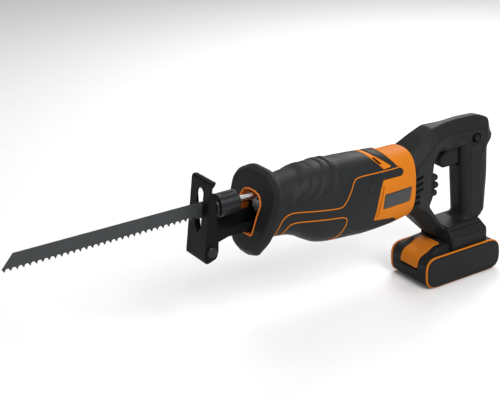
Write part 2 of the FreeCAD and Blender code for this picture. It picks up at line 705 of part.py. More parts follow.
def make_shoe_carrier():
    """An open-topped channel from the shoe's pivot back into the gearbox, with a tall right wall."""
    outer = 10.5
    side = [(-30.0, -38.0, 4), (-30.0, -50.8, 6), (-18.3, -50.8, 6), (-16.0, -41.5, 8), (4.0, -36.5, 14)]
    side += [(101.5, -36.5, 0), (101.5, -26.0, 0), (-14.0, -26.0, 4), (-20.5, -35.0, 6)]
    block = side_plate(side, (-outer, outer))
    gap = [(-60, 0, 0), (130, 0, 0), (130, -34.6, 0), (30, -34.6, 4), (26, -70, 0), (-60, -70, 0)]
    gap = side_plate(gap, (-outer + 2.2, outer - 2.2))
    tall = side_plate([(-10, -27, 0), (-4, -17, 3), (54, -17, 3), (58, -27, 0)], (outer - 2.2, outer))
    carrier = block.cut(gap).fuse(tall)
    return carrier.cut(rod_y(3.0 + RUN_GAP, (-30, 30), *SHOE_PIVOT))


def make_shoe_rivet():
    x, z = SHOE_PIVOT
    w = SHOE_HALF_WIDTH
    rivet = rod_y(3.0, (-w - 1.5, w + 1.5), x, z)
    for y in (-w - 3.0, w + 0.3):
        rivet = rivet.fuse(rod_y(6.4, (y, y + 2.7), x, z))
    return soften(rivet, 1.8, lambda edge: edge.Length > 30 and abs(edge.BoundBox.YMin) > w + 2.5)


def make_shoe_spacers():
    x, z = SHOE_PIVOT
    spacer = rod_y(5.2, (10.6, SHOE_HALF_WIDTH - SHOE_SHEET - 0.1), x, z)
    return both_sides(spacer.cut(rod_y(3.0 + RUN_GAP, (0, 30), x, z)))


# ---- badge, screws, leads --------------------------------------------------------------
def make_badge():
    """The blank plate let into the left side of the orange collar."""
    return side_plate(BADGE_OUTLINE, (-BADGE_SEAT_Y - 1.6, -BADGE_SEAT_Y))


def tube_path(points, radius):
    """A lead along points: straight runs joined by tangent arcs."""
    edges = []
    last = V(*points[0])
    for index in range(1, len(points) - 1):
        corner = V(*points[index])
        back = V(*points[index - 1]) - corner
        ahead = V(*points[index + 1]) - corner
        reach = 0.45 * min(back.Length, ahead.Length)
        back.normalize()
        ahead.normalize()
        start = corner + back * reach
        end = corner + ahead * reach
        half_turn = back.getAngle(ahead) / 2
        middle = (back + ahead).normalize()
        arc_radius = reach * math.tan(half_turn)
        nearest = corner + middle * (arc_radius / math.sin(half_turn) - arc_radius)
        edges.append(Part.LineSegment(last, start).toShape())
        edges.append(Part.Arc(start, nearest, end).toShape())
        last = end
    edges.append(Part.LineSegment(last, V(*points[-1])).toShape())
    path = Part.Wire(edges)
    direction = V(*points[1]) - V(*points[0])
    section = Part.Wire(Part.makeCircle(radius, V(*points[0]), direction))
    return path.makePipeShell([section], True, True)


def make_leads():
    pair = []
    for y in (-5.0, 5.0):
        pair.append(tube_path([(373.0, y, -37.5), (372.0, y, -60.0), (370.0, y, -85.0), (366.0, y, -104.0),
                               (360.0, y, -117.0)], 1.3))
    return Part.makeCompound(pair)


def make_terminal_block():
    return box((335.0, 365.0), (-19.0, 19.0), (-126.8, -119.5))


def make_terminal_blades():
    blades = []
    for y in (-12.0, 0.0, 12.0):
        blades.append(box((344.0, 362.0), (y - 0.4, y + 0.4), (-134.0, -126.9)))
    return Part.makeCompound(blades)


# Each screw is x, z and the y of the right-hand surface that it enters.
BODY_SCREWS = [(232.0, -66.0, 29.5), (246.2, -3.0, 29.0)]
HANDLE_SCREWS = [(306.0, 12.0, 18.0), (350.0, 14.0, 18.0), (360.0, -70.0, 18.0), (288.0, -88.0, 18.0)]
HANDLE_SCREWS += [(340.0, -114.0, 31.0)]


def with_bosses(right_half, screws):
    """Adds a boss, a head recess and a hole for each screw to a right-hand shell."""
    for x, z, y in screws:
        right_half = right_half.fuse(rod_y(4.4, (0.0, y - 1.5), x, z))
        right_half = right_half.cut(rod_y(3.3, (y - 4.0, y + 10.0), x, z))
        right_half = right_half.cut(rod_y(1.6, (-1.0, y - 3.0), x, z))
    return right_half


def with_blind_bosses(left_half, screws):
    """Adds the left-hand bosses that the screws bite into."""
    for x, z, y in screws:
        left_half = left_half.fuse(rod_y(4.4, (-y + 2.0, 0.0), x, z))
        left_half = left_half.cut(rod_y(1.6, (-10.0, 1.0), x, z))
    return left_half


def make_housing_screws():
    screws = []
    for x, z, y in BODY_SCREWS + HANDLE_SCREWS:
        head_y = y - 4.0
        screw = rod_y(3.0, (head_y, head_y + 2.2), x, z).fuse(rod_y(1.5, (-9.0, head_y), x, z))
        for wide, tall in ((1.8, 0.35), (0.35, 1.8)):
            recess = box((x - wide, x + wide), (head_y + 1.0, head_y + 3.0), (z - tall, z + tall))
            screw = screw.cut(recess)
        screws.append(screw)
    return Part.makeCompound(screws)


# ---- battery pack ----------------------------------------------------------------------
def pack_profile(inset):
    x0, x1 = PACK_X
    z0, z1 = PACK_Z
    nose = PACK_NOSE_R - inset
    tail = PACK_TAIL_R - inset
    return [(x0 + inset, z1 - inset, nose), (x1 - inset, z1 - inset, tail),
            (x1 - inset, z0 + inset, tail), (x0 + inset, z0 + inset, nose)]


def deck_outline():
    return [(275.0, -160.0, 0), (277.5, -148.0, 8), (286.0, -136.0, 14), (299.0, -128.5, 14),
            (312.0, PACK_DECK_Z, 0), (375.8, PACK_DECK_Z, 2), (375.8, -160.0, 0)]


def make_pack_main():
    shell = side_plate(pack_profile(0.0), (-33.8, 33.8))
    deck = side_plate(deck_outline(), (-27.0, 27.0))
    body = join([shell, deck])
    pocket = box((280.0, 391.0), (-33.0, 33.0), (PACK_Z[0] + 2.4, -141.0))
    body = body.cut(pocket)
    for low, high in ((-33.0, -27.2), (27.2, 33.0)):
        body = body.cut(box((FOOT_X[0] - 2, 400.0), (low, high), (FOOT_BOTTOM_Z - 0.6, -120.0)))
    body = body.cut(box((376.2, 400.0), (-33.0, 33.0), (FOOT_BOTTOM_Z - 0.6, -120.0)))
    body = body.cut(rod_z(2.8, (-138.6, -120.0), LATCH_SPRING_X))
    for y in (-12.0, 0.0, 12.0):
        body = body.cut(box((342.0, 380.0), (y - 1.6, y + 1.6), (-135.0, -120.0)))
    for part_way in (0.0, 0.5, 1.0):
        travel = V(0.5, 0.0, -0.866) * (LATCH_TRAVEL * part_way)
        body = body.cut(button_blank(0.4).translated(travel))
    return body


def button_blank(grow):
    """The release button: a curved plate let into the nose of the pack."""
    low = 16.5 + grow
    curve = [(270.0, -153.0 - grow, 0), (281.5 + grow, -153.0 - grow, 0), (286.5, -142.0, 4)]
    curve += [(296.0, -134.4 - grow, 8), (311.0 + grow, -131.2 - grow, 0)]
    curve += [(311.0 + grow, -120.0, 0), (270.0, -120.0, 0)]
    return side_plate(curve, (-low, low))


def make_pack_latch():
    blank = button_blank(0.0)
    outer = side_plate([(274.3, -160.0, 0), (276.8, -148.0, 8), (285.5, -135.4, 14), (299.0, -127.9, 14),
                        (312.0, -126.9, 0), (376.0, -126.9, 0), (376.0, -160.0, 0)], (-27.0, 27.0))
    return blank.common(outer)


def make_pack_cases():
    """The case splits level with the cells into a lower tray and an upper lid."""
    body = make_pack_main()
    lower = body.common(box((200, 500), (-BIG, BIG), (-BIG, PACK_SPLIT_Z)))
    upper = body.common(box((200, 500), (-BIG, BIG), (PACK_SPLIT_Z, BIG)))
    return lower, upper


def make_pack_side_caps():
    cap = side_plate(pack_profile(1.2), (36.4, PACK_HALF_WIDTH))
    cap = soften(cap, 1.6, lambda edge: abs(edge.BoundBox.YMin - PACK_HALF_WIDTH) < 0.1)
    return both_sides(cap)


def make_pack_trim():
    return both_sides(side_plate(pack_profile(0.2), (33.9, 36.3)))


def make_pack_cells():
    cells = []
    for index in range(5):
        cells.append(rod_y(CELL_R, (-32.5, 32.5), 296.0 + 18.8 * index, -156.0))
    return Part.makeCompound(cells)


def make_latch_spring():
    spring = rod_z(2.4, (-138.5, -133.8), LATCH_SPRING_X)
    return spring.cut(rod_z(1.6, (-140.0, -130.0), LATCH_SPRING_X))


# ---- export ----------------------------------------------------------------------------
def mirror_y(shape):
    return shape.mirror(V(0, 0, 0), V(0, 1, 0))


def main():
    export("blade", make_blade())
    export("clamp_hub", make_clamp_hub())
    export("clamp_collar", make_clamp_collar())
    export("clamp_spring", make_clamp_spring())
    export("clamp_lock_pin", make_clamp_pin())
    export("plunger_rod", make_plunger_rod())
    export("plunger_yoke", make_plunger_yoke())
    export("slider_block", make_slider_block())
    export("crank_gear", make_crank_gear())
    export("crank_pin", make_crank_pin())
    export("gear_shaft", make_gear_shaft())
    export("gear_bearings", make_gear_bearings())
    export("gearbox_housing", make_gearbox_housing())
    export("gearbox_cover", make_gearbox_cover())
    export("front_bushing", make_front_bushing())
    export("rear_bushing", make_rear_bushing())
    export("rod_seal", make_rod_seal())
    export("motor_pinion", make_motor_pinion())
    export("motor_shaft", make_motor_shaft())
    export("motor_front_bearing", make_motor_bearing((160.0, 166.5)))
    export("motor_rear_bearing", make_motor_bearing((242.0, 247.5)))
    export("cooling_fan", make_cooling_fan())
    export("motor_can", make_motor_can())
    export("motor_magnets", make_motor_magnets())
    export("rotor_core", make_rotor_core())
    export("rotor_windings", make_rotor_windings())
    export("commutator", make_commutator())
    export("carbon_brushes", make_carbon_brushes())
    export("brush_holders", make_brush_holders())
    export("motor_end_bell", make_motor_end_bell())
    grip, shell = make_body_halves()
    export("motor_housing_left", with_blind_bosses(shell, BODY_SCREWS))
    export("motor_housing_right", with_bosses(mirror_y(shell), BODY_SCREWS))
    export("front_grip_left", grip)
    export("front_grip_right", mirror_y(grip))
    export("front_guard", make_front_guard())
    export("guard_trim_ring", make_guard_trim_ring())
    export("badge_plate_left", make_badge())
    export("badge_plate_right", mirror_y(make_badge()))
    handle = make_handle_body()
    export("handle_left", with_blind_bosses(half(handle, LEFT), HANDLE_SCREWS))
    export("handle_right", with_bosses(half(handle, RIGHT), HANDLE_SCREWS))
    export("housing_screws", make_housing_screws())
    export("handle_overmould", make_handle_overmould())
    export("trigger", make_trigger())
    export("trigger_spring", make_trigger_spring())
    export("switch_body", make_switch_body())
    export("lock_button", make_lock_button())
    export("shoe_plate", make_shoe_plate())
    export("shoe_carrier", make_shoe_carrier())
    export("shoe_rivet", make_shoe_rivet())
    export("shoe_spacers", make_shoe_spacers())
    export("switch_leads", make_leads())
    export("terminal_block", make_terminal_block())
    export("terminal_blades", make_terminal_blades())
    pack_lower, pack_upper = make_pack_cases()
    export("pack_case_lower", pack_lower)
    export("pack_case_upper", pack_upper)
    export("pack_side_caps", make_pack_side_caps())
    export("pack_trim_bands", make_pack_trim())
    export("pack_cells", make_pack_cells())
    export("pack_latch", make_pack_latch())
    export("latch_spring", make_latch_spring())


main()
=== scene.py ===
import json
import math

import bpy
import numpy as np
from mathutils import Matrix, Vector


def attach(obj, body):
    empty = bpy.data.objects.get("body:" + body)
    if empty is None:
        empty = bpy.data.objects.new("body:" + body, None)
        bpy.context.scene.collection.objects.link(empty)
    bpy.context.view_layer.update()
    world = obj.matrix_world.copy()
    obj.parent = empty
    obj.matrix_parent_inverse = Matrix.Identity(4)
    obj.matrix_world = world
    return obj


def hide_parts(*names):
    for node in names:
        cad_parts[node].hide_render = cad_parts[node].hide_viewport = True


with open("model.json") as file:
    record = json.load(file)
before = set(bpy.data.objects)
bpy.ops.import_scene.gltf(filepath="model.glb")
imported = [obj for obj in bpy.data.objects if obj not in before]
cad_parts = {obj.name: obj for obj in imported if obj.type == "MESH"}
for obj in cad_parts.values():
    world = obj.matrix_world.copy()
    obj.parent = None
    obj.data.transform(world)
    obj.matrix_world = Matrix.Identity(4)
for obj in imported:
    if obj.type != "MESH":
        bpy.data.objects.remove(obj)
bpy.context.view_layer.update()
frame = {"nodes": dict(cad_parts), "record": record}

# Looks of the cordless reciprocating saw. Lengths below are millimetres in the CAD frame:
# +X rearwards, -Y the user's left, +Z up, with the blade clamp at the origin.
MM = 0.001
GRID = 1.0
# power of the squared ovals that the body's cross-sections are
SQUARENESS = 2.4

# ---- fields ----------------------------------------------------------------------------
# A field is a function of x, y, z that is negative inside the shape and close to the
# distance from its surface in millimetres.


def both(a, b, k=1.0):
    """Where two fields overlap, with the edge between them rounded over about k."""
    h = np.maximum(k - np.abs(a - b), 0.0) / k
    return np.maximum(a, b) + h * h * k / 4


def either(a, b, k=1.0):
    """Two fields joined."""
    return -both(-a, -b, k)


def without(a, b, k=1.0):
    """The first field with the second cut out of it."""
    return both(a, -b, k)


def rounded(corners, steps=5):
    """A closed outline with each corner (u, v, radius) turned into an arc."""
    points = []
    count = len(corners)
    for i in range(count):
        u, v, radius = corners[i]
        here = np.array([u, v], float)
        before = np.array(corners[i - 1][:2]) - here
        after = np.array(corners[(i + 1) % count][:2]) - here
        before_size = np.linalg.norm(before)
        after_size = np.linalg.norm(after)
        before /= before_size
        after /= after_size
        half_turn = math.acos(np.clip(np.dot(before, after), -1, 1)) / 2
        if radius < 0.05 or half_turn > 1.55:
            points.append(tuple(here))
            continue
        reach = min(radius / math.tan(half_turn), 0.48 * before_size, 0.48 * after_size)
        start = here + before * reach
        end = here + after * reach
        for step in range(steps + 1):
            t = step / steps
            points.append(tuple((1 - t) ** 2 * start + 2 * t * (1 - t) * here + t * t * end))
    return points


def outline(u, v, points):
    """Distance to a closed outline in a plane, negative inside."""
    square = np.full(np.broadcast(u, v).shape, 1e9)
    inside = np.zeros(square.shape, bool)
    for (au, av), (bu, bv) in zip(points, points[1:] + points[:1]):
        eu, ev = bu - au, bv - av
        wu, wv = u - au, v - av
        t = np.clip((wu * eu + wv * ev) / (eu * eu + ev * ev), 0, 1)
        square = np.minimum(square, (wu - eu * t) ** 2 + (wv - ev * t) ** 2)
        above_a, below_b, left = v >= av, v < bv, eu * wv > ev * wu
        inside ^= (above_a & below_b & left) | (~above_a & ~below_b & ~left)
    return np.where(inside, -1, 1) * np.sqrt(square)


def near_path(u, v, points, half_width):
    """Distance to a band along an open path in a plane."""
    square = np.full(np.broadcast(u, v).shape, 1e9)
    for (au, av), (bu, bv) in zip(points, points[1:]):
        eu, ev = bu - au, bv - av
        t = np.clip(((u - au) * eu + (v - av) * ev) / (eu * eu + ev * ev), 0, 1)
        square = np.minimum(square, (u - au - eu * t) ** 2 + (v - av - ev * t) ** 2)
    return np.sqrt(square) - half_width


def oval(y, z, half_width, top, bottom):
    """Distance to a squared oval whose size may change with x."""
    middle = (top + bottom) / 2
    half = (top - bottom) / 2
    a = np.maximum(np.abs(y) / half_width, 1e-6)
    b = np.maximum(np.abs(z - middle) / half, 1e-6)
    r = (a ** SQUARENESS + b ** SQUARENESS) ** (1 / SQUARENESS)
    slope = r ** (1 - SQUARENESS) * np.sqrt((a ** (SQUARENESS - 1) / half_width) ** 2
                                            + (b ** (SQUARENESS - 1) / half) ** 2)
    return (r - 1) / np.maximum(slope, 0.2 / np.minimum(half_width, half))


def block(x, y, z, low, high, radius):
    """Distance to a box with rounded edges."""
    inner = []
    for value, a, b in zip((x, y, z), low, high):
        inner.append(np.abs(value - (a + b) / 2) - ((b - a) / 2 - radius))
    outside = np.sqrt(sum(np.maximum(q, 0) ** 2 for q in inner))
    return outside + np.minimum(np.maximum(np.maximum(inner[0], inner[1]), inner[2]), 0) - radius


def ramp(value, start, end):
    """A smooth step from 0 at start to 1 at end."""
    t = np.clip((value - start) / (end - start), 0, 1)
    return t * t * (3 - 2 * t)


def smooth_rows(x, rows):
    """The columns of a station table at x, on monotone cubics through the stations."""
    table = np.array(rows)
    xs = table[:, 0]
    x = np.clip(x, xs[0], xs[-1])
    i = np.clip(np.searchsorted(xs, x, side="right") - 1, 0, len(xs) - 2)
    gap = xs[i + 1] - xs[i]
    t = (x - xs[i]) / gap
    result = []
    for column in table[:, 1:].T:
        slopes = np.diff(column) / np.diff(xs)
        product = slopes[:-1] * slopes[1:]
        total = np.where(product > 0, slopes[:-1] + slopes[1:], 1.0)
        inner = np.where(product > 0, 2 * product / total, 0.0)
        tangents = np.concatenate([slopes[:1], inner, slopes[-1:]])
        start, end = tangents[i] * gap, tangents[i + 1] * gap
        rise = column[i + 1] - column[i]
        result.append(column[i] + start * t + (3 * rise - 2 * start - end) * t ** 2
                      + (start + end - 2 * rise) * t ** 3)
    return result


# ---- meshes ----------------------------------------------------------------------------
def add_piece(name, points, faces):
    """A smooth-shaded object from points in millimetres."""
    mesh = bpy.data.meshes.new(name)
    mesh.from_pydata((points * MM).tolist(), [], faces)
    mesh.validate()
    mesh.shade_smooth()
    piece = bpy.data.objects.new(name, mesh)
    bpy.context.scene.collection.objects.link(piece)
    return piece


def net(values, origin, step):
    """Quads round the zero surface of a grid of values, one corner to each crossed cell."""
    cells = tuple(size - 1 for size in values.shape)
    total = np.zeros((math.prod(cells), 3))
    hits = np.zeros(math.prod(cells))
    faces = []
    for axis in range(3):
        low = np.take(values, range(values.shape[axis] - 1), axis)
        high = np.take(values, range(1, values.shape[axis]), axis)
        at = np.argwhere((low < 0) != (high < 0))
        a = low[tuple(at.T)]
        b = high[tuple(at.T)]
        crossing = at.astype(float)
        crossing[:, axis] += a / (a - b)
        u, v = (axis + 1) % 3, (axis + 2) % 3
        corners = []
        for step_u, step_v in ((0, 0), (-1, 0), (-1, -1), (0, -1)):
            cell = at.copy()
            cell[:, u] += step_u
            cell[:, v] += step_v
            corners.append(np.ravel_multi_index(cell.T, cells))
        quad = np.stack(corners, axis=1)
        quad[a > 0] = quad[a > 0][:, ::-1]
        faces.append(quad)
        owners = quad.ravel()
        hits += np.bincount(owners, minlength=len(hits))
        for c in range(3):
            total[:, c] += np.bincount(owners, np.repeat(crossing[:, c], 4), len(hits))
    faces = np.concatenate(faces)
    used, faces = np.unique(faces, return_inverse=True)
    points = origin + step * total[used] / hits[used][:, None]
    return points, faces.reshape(-1, 4)


def settle(points, field, step):
    """Moves points onto the field's surface."""
    nudge = 0.02
    for _ in range(3):
        value = field(*points.T)
        rises = [field(*(points + offset).T) - value for offset in nudge * np.eye(3)]
        slope = np.stack(rises, axis=1) / nudge
        move = slope * (value / np.maximum((slope ** 2).sum(axis=1), 0.2))[:, None]
        size = np.linalg.norm(move, axis=1)
        limit = np.minimum(1, 0.4 * step / np.maximum(size, 1e-9))
        points = points - move * limit[:, None]
    return points


def shape(name, low, high, field, step=None):
    """A closed mesh of a field's surface inside a box."""
    step = step or GRID
    axes = [np.arange(a - 2 * step, b + 2.5 * step, step) for a, b in zip(low, high)]

    def inside_box(x, y, z):
        walls = [np.maximum(a - value, value - b) for value, a, b in zip((x, y, z), low, high)]
        return np.maximum(field(x, y, z), np.maximum(np.maximum(walls[0], walls[1]), walls[2]))

    values = inside_box(*np.ix_(*axes))
    values = np.ascontiguousarray(np.broadcast_to(values, [len(axis) for axis in axes]))
    points, faces = net(values, np.array([axis[0] for axis in axes]), step)
    return add_piece(name, settle(points, inside_box, step), faces.tolist())


def softened(path, rounds=3):
    """An open path with its corners cut smooth."""
    path = np.array(path, float)
    for _ in range(rounds):
        near = 0.75 * path[:-1] + 0.25 * path[1:]
        far = 0.25 * path[:-1] + 0.75 * path[1:]
        middle = np.stack([near, far], axis=1).reshape(-1, path.shape[1])
        path = np.concatenate([path[:1], middle[1:-1], path[-1:]])
    return path


def even(path, gap):
    """The path again, at even steps of about gap."""
    run = np.concatenate([[0], np.cumsum(np.linalg.norm(np.diff(path, axis=0), axis=1))])
    at = np.linspace(0, run[-1], max(2, round(run[-1] / gap)))
    return np.stack([np.interp(at, run, column) for column in path.T], axis=1)


def tube(path, radius, sides=10):
    """Points and faces of a round cord along a path, with domed ends."""
    path = np.array(path, float)
    along = np.gradient(path, axis=0)
    along /= np.linalg.norm(along, axis=1)[:, None]
    across = np.cross(along, (0.0, 1.0, 0.001))
    across /= np.linalg.norm(across, axis=1)[:, None]
    third = np.cross(along, across)
    angle = np.linspace(0, 2 * math.pi, sides, endpoint=False)
    circle = (np.cos(angle)[:, None] * across[:, None, :]
              + np.sin(angle)[:, None] * third[:, None, :])
    size = np.full(len(path), radius)
    size[[0, -1]] *= 0.55
    rings = path[:, None, :] + circle * size[:, None, None]
    points = np.concatenate([rings.reshape(-1, 3), path[:1] - along[:1] * radius * 0.4,
                             path[-1:] + along[-1:] * radius * 0.4])
    faces = []
    for i in range(len(path) - 1):
        for j in range(sides):
            k = (j + 1) % sides
            faces.append((i * sides + j, (i + 1) * sides + j, (i + 1) * sides + k, i * sides + k))
    for j in range(sides):
        k = (j + 1) % sides
        last = (len(path) - 1) * sides
        faces.append((len(points) - 2, j, k))
        faces.append((len(points) - 1, last + k, last + j))
    return points, faces


def add_tubes(name, parts):
    """One object from several (points, faces) pairs."""
    points = np.concatenate([part[0] for part in parts])
    faces = []
    start = 0
    for part_points, part_faces in parts:
        faces += [tuple(start + index for index in face) for face in part_faces]
        start += len(part_points)
    return add_piece(name, points, faces)


# ---- materials -------------------------------------------------------------------------
def node(tree, kind, **inputs):
    """A new shader node; each keyword is one of its properties or, failing that, a socket."""
    made = tree.nodes.new(kind)
    for key, value in inputs.items():
        if hasattr(made, key):
            setattr(made, key, value)
        else:
            made.inputs[key.replace("_", " ")].default_value = value
    return made


def surface_material(name, colour, roughness, metal=0.0, tone=0.12, grain=0.25, grain_size=0.5,
                     bump=0.06, worn=None, streaks=None, coat=0.0, sheen=0.0, specular=0.5):
    """A moulded or painted finish: mottled tone, fine grain, uneven gloss and rubbed edges.

    grain_size and bump are millimetres; worn is the colour that shows on rubbed edges;
    streaks stretches the grain along x, y or z, as brushing or grinding does."""
    made = bpy.data.materials.new(name)
    made.use_nodes = True
    tree = made.node_tree
    shader = tree.nodes["Principled BSDF"]
    link = tree.links.new
    place = node(tree, "ShaderNodeTexCoord")
    stretch = node(tree, "ShaderNodeMapping")
    stretch.inputs["Scale"].default_value = streaks or (1.0, 1.0, 1.0)
    link(place.outputs["Object"], stretch.inputs["Vector"])
    broad = node(tree, "ShaderNodeTexNoise", Scale=38.0, Detail=4.0, Roughness=0.6)
    link(place.outputs["Object"], broad.inputs["Vector"])
    fine = node(tree, "ShaderNodeTexNoise", Scale=1000.0 / grain_size, Detail=3.0, Roughness=0.65)
    link(stretch.outputs["Vector"], fine.inputs["Vector"])
    pits = node(tree, "ShaderNodeTexVoronoi", Scale=620.0 / grain_size)
    link(stretch.outputs["Vector"], pits.inputs["Vector"])

    def level(source, low, high, from_low=0.25, from_high=0.75):
        made_range = node(tree, "ShaderNodeMapRange")
        for socket, value in (("From Min", from_low), ("From Max", from_high),
                              ("To Min", low), ("To Max", high)):
            made_range.inputs[socket].default_value = value
        link(source, made_range.inputs["Value"])
        return made_range.outputs["Result"]

    def scaled(factor):
        return tuple(min(1.0, channel * factor) for channel in colour) + (1.0,)

    shade = node(tree, "ShaderNodeMix", data_type="RGBA")
    shade.inputs["A"].default_value = scaled(1 - tone)
    shade.inputs["B"].default_value = scaled(1 + tone)
    link(level(broad.outputs["Fac"], 0.0, 1.0), shade.inputs["Factor"])
    speckle = node(tree, "ShaderNodeMix", data_type="RGBA", blend_type="MULTIPLY")
    link(shade.outputs["Result"], speckle.inputs["A"])
    link(level(fine.outputs["Fac"], 1 - grain, 1 + 0.4 * grain), speckle.inputs["B"])
    speckle.inputs["Factor"].default_value = 1.0
    last = speckle.outputs["Result"]
    rough = level(broad.outputs["Fac"], roughness * 0.86, roughness * 1.14)
    if worn:
        form = node(tree, "ShaderNodeNewGeometry")
        edge = level(form.outputs["Pointiness"], 0.0, 1.0, 0.53, 0.62)
        patchy = node(tree, "ShaderNodeMath", operation="MULTIPLY")
        link(edge, patchy.inputs[0])
        link(level(broad.outputs["Fac"], 0.15, 0.9, 0.4, 0.65), patchy.inputs[1])
        rub = node(tree, "ShaderNodeMix", data_type="RGBA")
        link(last, rub.inputs["A"])
        rub.inputs["B"].default_value = tuple(worn) + (1.0,)
        link(patchy.outputs["Value"], rub.inputs["Factor"])
        last = rub.outputs["Result"]
    link(last, shader.inputs["Base Color"])
    gloss = node(tree, "ShaderNodeMath", operation="MULTIPLY")
    link(rough, gloss.inputs[0])
    link(level(fine.outputs["Fac"], 0.9, 1.1), gloss.inputs[1])
    link(gloss.outputs["Value"], shader.inputs["Roughness"])
    relief = node(tree, "ShaderNodeMath", operation="ADD")
    link(level(fine.outputs["Fac"], 0.0, 0.6), relief.inputs[0])
    link(level(pits.outputs["Distance"], 0.0, 0.4, 0.0, 0.6), relief.inputs[1])
    raised = node(tree, "ShaderNodeBump", Strength=0.5, Distance=bump * MM)
    link(relief.outputs["Value"], raised.inputs["Height"])
    link(raised.outputs["Normal"], shader.inputs["Normal"])
    shader.inputs["Metallic"].default_value = metal
    shader.inputs["Coat Weight"].default_value = coat
    shader.inputs["Sheen Weight"].default_value = sheen
    shader.inputs["Specular IOR Level"].default_value = specular
    return made


FINISHES = {
    "black_rubber": dict(colour=(0.0150, 0.0160, 0.0168), roughness=0.52, specular=0.13,
                         grain_size=0.45, bump=0.07, tone=0.10, worn=(0.028, 0.030, 0.031)),
    "black_plastic": dict(colour=(0.0135, 0.0142, 0.0146), roughness=0.48, specular=0.11,
                          grain_size=0.35, bump=0.05, tone=0.10, worn=(0.026, 0.027, 0.029)),
    "orange_plastic": dict(colour=(0.55, 0.160, 0.009), roughness=0.52, specular=0.08, grain=0.10,
                           grain_size=0.4, bump=0.03, tone=0.05, worn=(0.66, 0.23, 0.03)),
    "trim_orange": dict(colour=(0.74, 0.17, 0.012), roughness=0.42, specular=0.2, grain=0.08,
                        grain_size=0.4, bump=0.02, tone=0.05, worn=(0.85, 0.28, 0.05)),
    "badge_black": dict(colour=(0.028, 0.029, 0.031), roughness=0.32, grain=0.12, grain_size=0.3,
                        bump=0.02, tone=0.08, coat=0.15, specular=0.3),
    "blade_steel": dict(colour=(0.045, 0.049, 0.051), roughness=0.46, metal=0.35, specular=0.3,
                        grain=0.3, grain_size=0.5, bump=0.03, tone=0.14, streaks=(0.12, 1.0, 1.0)),
    "shoe_paint": dict(colour=(0.0050, 0.0054, 0.0058), roughness=0.46, specular=0.07, grain=0.25,
                       grain_size=0.6, bump=0.04, tone=0.14),
    "dark_steel": dict(colour=(0.020, 0.021, 0.023), roughness=0.34, metal=0.6, specular=0.35,
                       grain=0.3, grain_size=0.4, bump=0.03, tone=0.18),
    "bright_steel": dict(colour=(0.62, 0.63, 0.64), roughness=0.22, metal=1.0, grain=0.15,
                         grain_size=0.5, bump=0.015, tone=0.08, streaks=(1.0, 0.15, 0.15)),
    "spring_steel": dict(colour=(0.07, 0.07, 0.075), roughness=0.3, metal=1.0, grain_size=0.3,
                         bump=0.02),
    "gear_steel": dict(colour=(0.40, 0.40, 0.42), roughness=0.34, metal=1.0, grain_size=0.4,
                       bump=0.03),
    "bronze": dict(colour=(0.50, 0.33, 0.15), roughness=0.38, metal=1.0, grain_size=0.4, bump=0.04),
    "cast_alloy": dict(colour=(0.36, 0.37, 0.38), roughness=0.5, metal=0.9, grain_size=0.7, bump=0.10,
                       tone=0.12),
    "copper": dict(colour=(0.60, 0.25, 0.11), roughness=0.3, metal=1.0, grain_size=0.5, bump=0.03),
    "magnet": dict(colour=(0.05, 0.05, 0.055), roughness=0.6, grain_size=0.5, bump=0.05),
    "lamination": dict(colour=(0.32, 0.32, 0.33), roughness=0.4, metal=1.0, grain_size=0.5,
                       streaks=(4.0, 0.3, 0.3), bump=0.04),
    "can_steel": dict(colour=(0.42, 0.42, 0.43), roughness=0.35, metal=1.0, grain_size=0.6,
                      bump=0.03),
    "nylon": dict(colour=(0.05, 0.05, 0.052), roughness=0.5, grain_size=0.5, bump=0.04),
    "carbon": dict(colour=(0.03, 0.03, 0.032), roughness=0.6, grain_size=0.3, bump=0.04),
    "wire_red": dict(colour=(0.42, 0.02, 0.015), roughness=0.4, grain_size=0.5, bump=0.02),
    "contact_metal": dict(colour=(0.66, 0.50, 0.25), roughness=0.3, metal=1.0, grain_size=0.4,
                          bump=0.02),
    "cell_wrap": dict(colour=(0.04, 0.18, 0.26), roughness=0.3, grain_size=0.6, bump=0.02,
                      coat=0.4),
    "seal_rubber": dict(colour=(0.02, 0.02, 0.021), roughness=0.55, grain_size=0.4, bump=0.03),
}
FINISH = {}
for slot_name, settings in FINISHES.items():
    FINISH[slot_name] = surface_material("finish_" + slot_name, **settings)


def dress(piece, slot_name, body, *nodes):
    """Paints a piece, sets it on its CAD body and hides the CAD nodes it stands for."""
    piece.data.materials.clear()
    piece.data.materials.append(FINISH[slot_name])
    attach(piece, body)
    if nodes:
        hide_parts(*nodes)
    return piece


for entry in frame["record"]["subparts"]:
    cad_node = frame["nodes"][entry["node"]]
    for material_slot in cad_node.material_slots:
        material_slot.material = FINISH[entry["material_slot"]]

# the clamp, the rod and the shoe keep their CAD form, with every sharp edge broken
BROKEN_EDGES = ("clamp_collar", "clamp_hub", "plunger_rod", "shoe_plate", "shoe_carrier",
                "shoe_rivet")
for name in BROKEN_EDGES:
    broken = frame["nodes"][name].modifiers.new("broken_edges", "BEVEL")
    broken.width = 0.25 * MM
    broken.segments = 2
    broken.limit_method = "ANGLE"
    broken.angle_limit = math.radians(35)

# ---- body, grip and collar -------------------------------------------------------------
# the body at stations along it: x, half width, top and bottom
BODY_ROWS = [(38, 30.6, 19.6, -53.4), (60, 30, 19.2, -53.6), (76, 30.6, 18.4, -55.2)]
BODY_ROWS += [(90, 32, 19.3, -59.5), (104, 34.5, 20.6, -67.8), (120, 36, 21.8, -75.8)]
BODY_ROWS += [(140, 37, 21.6, -79.4), (165, 37.2, 20.6, -81.2), (190, 36.8, 19, -83)]
BODY_ROWS += [(226, 35.4, 16.2, -81.8), (258, 33.8, 14.5, -77.6)]
COLLAR_END_X = 258.0
STEP_X = 233.0
ROOF_Z = 12.6
WALL = 3.0
